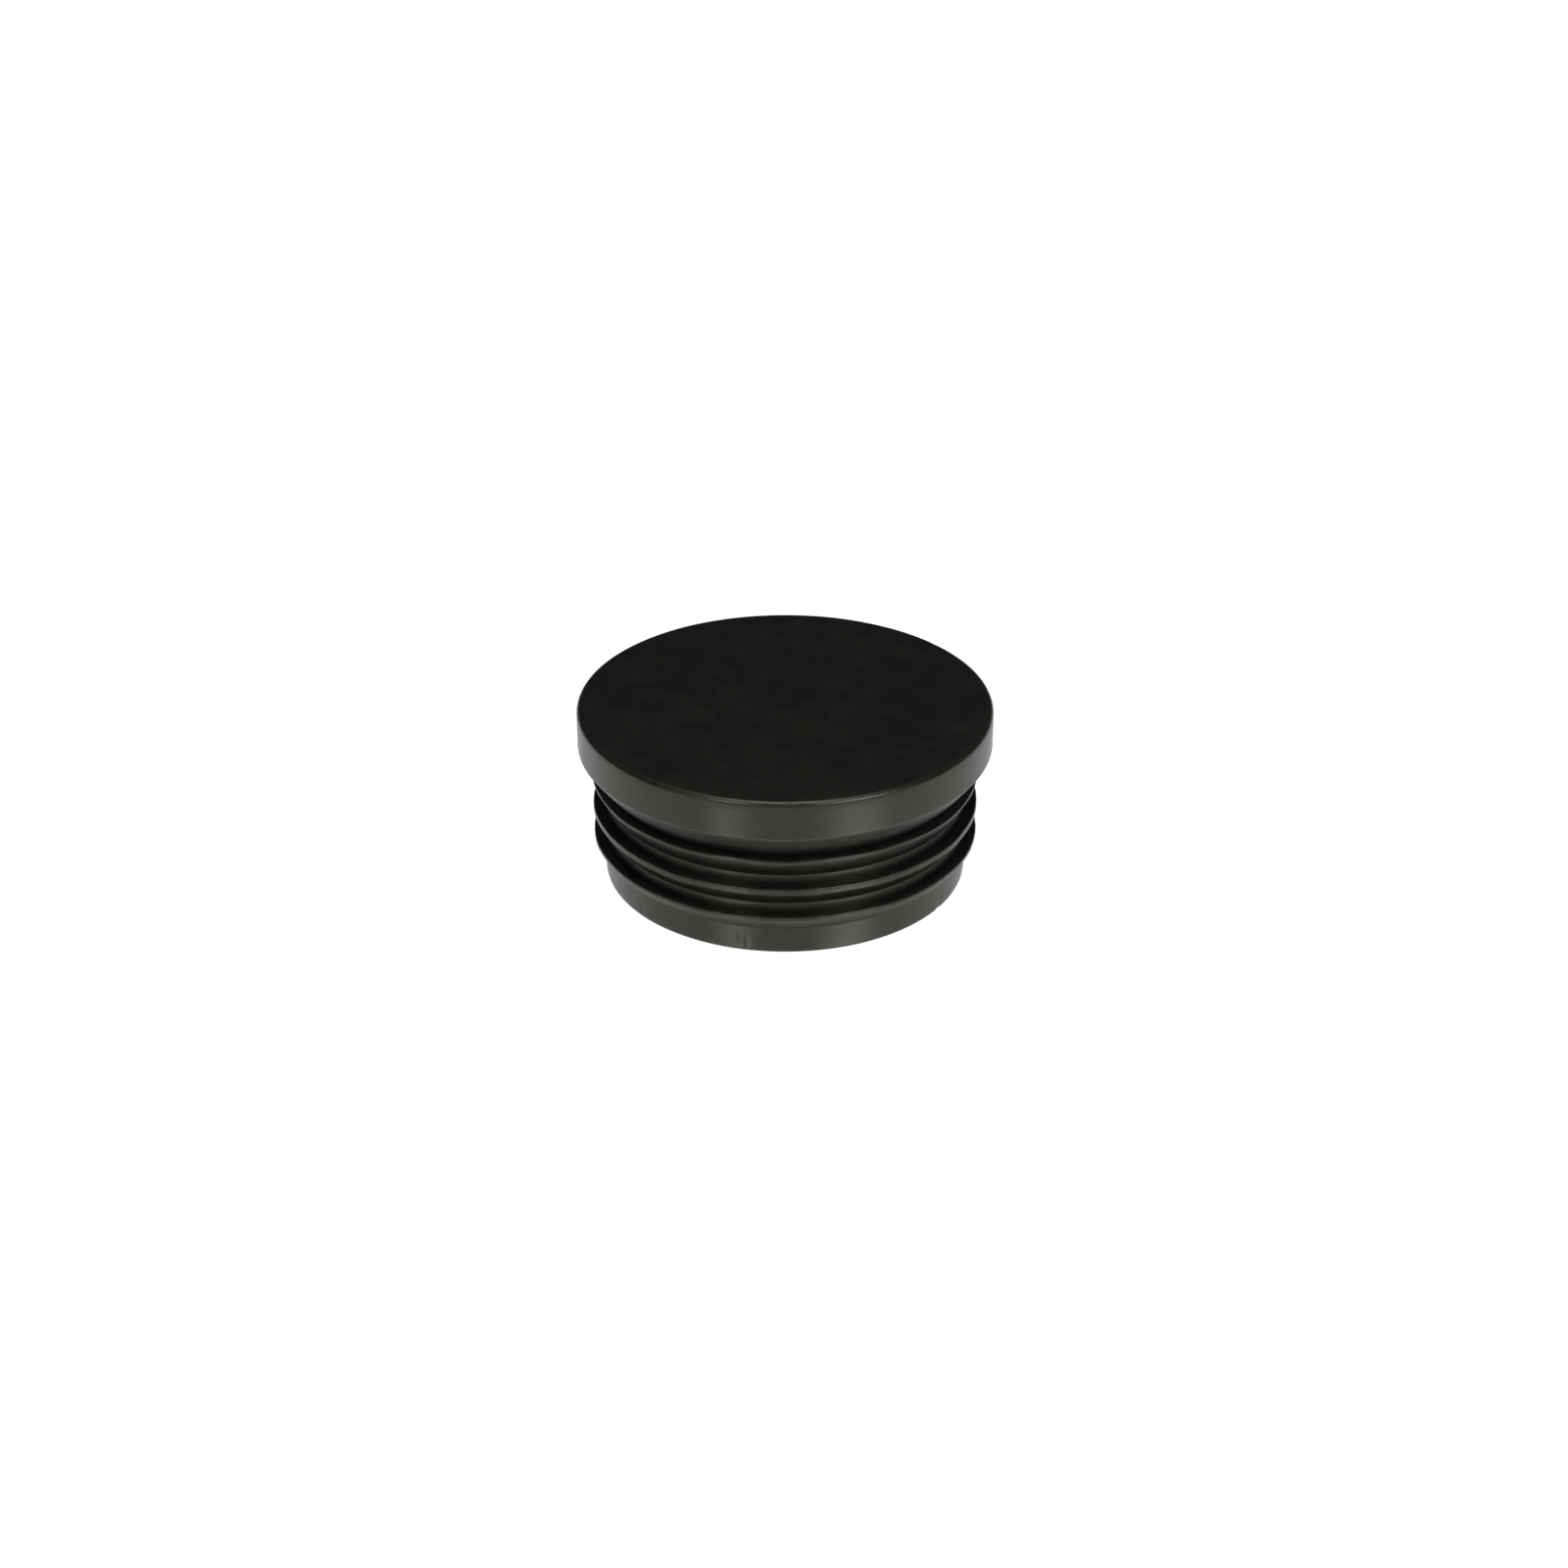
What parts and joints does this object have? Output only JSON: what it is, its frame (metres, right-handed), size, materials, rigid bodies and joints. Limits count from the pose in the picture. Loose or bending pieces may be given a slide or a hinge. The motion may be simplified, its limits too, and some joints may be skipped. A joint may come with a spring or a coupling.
{
  "type": "pipe cap",
  "caption": "Round push-in cap for an open pipe end: a flat head, a centring cone and a hollow shank with three soft barbed rings that grip the bore.",
  "frame": {"origin": "centre of the shank's open end, the face that the cap stands on", "axes": "+Z along the cap's axis, from the open end to the head; the part looks the same all round, and +X runs through one of the gussets inside"},
  "size_m": [0.06, 0.06, 0.026],
  "materials": {
    "body_plastic": "satin black moulded plastic",
    "ring_elastomer": "soft satin black elastomer"
  },
  "bodies": {
    "root": {"plug_body": "body_plastic", "upper_grip_ring": "ring_elastomer", "middle_grip_ring": "ring_elastomer", "lower_grip_ring": "ring_elastomer"}
  },
  "joints": []
}
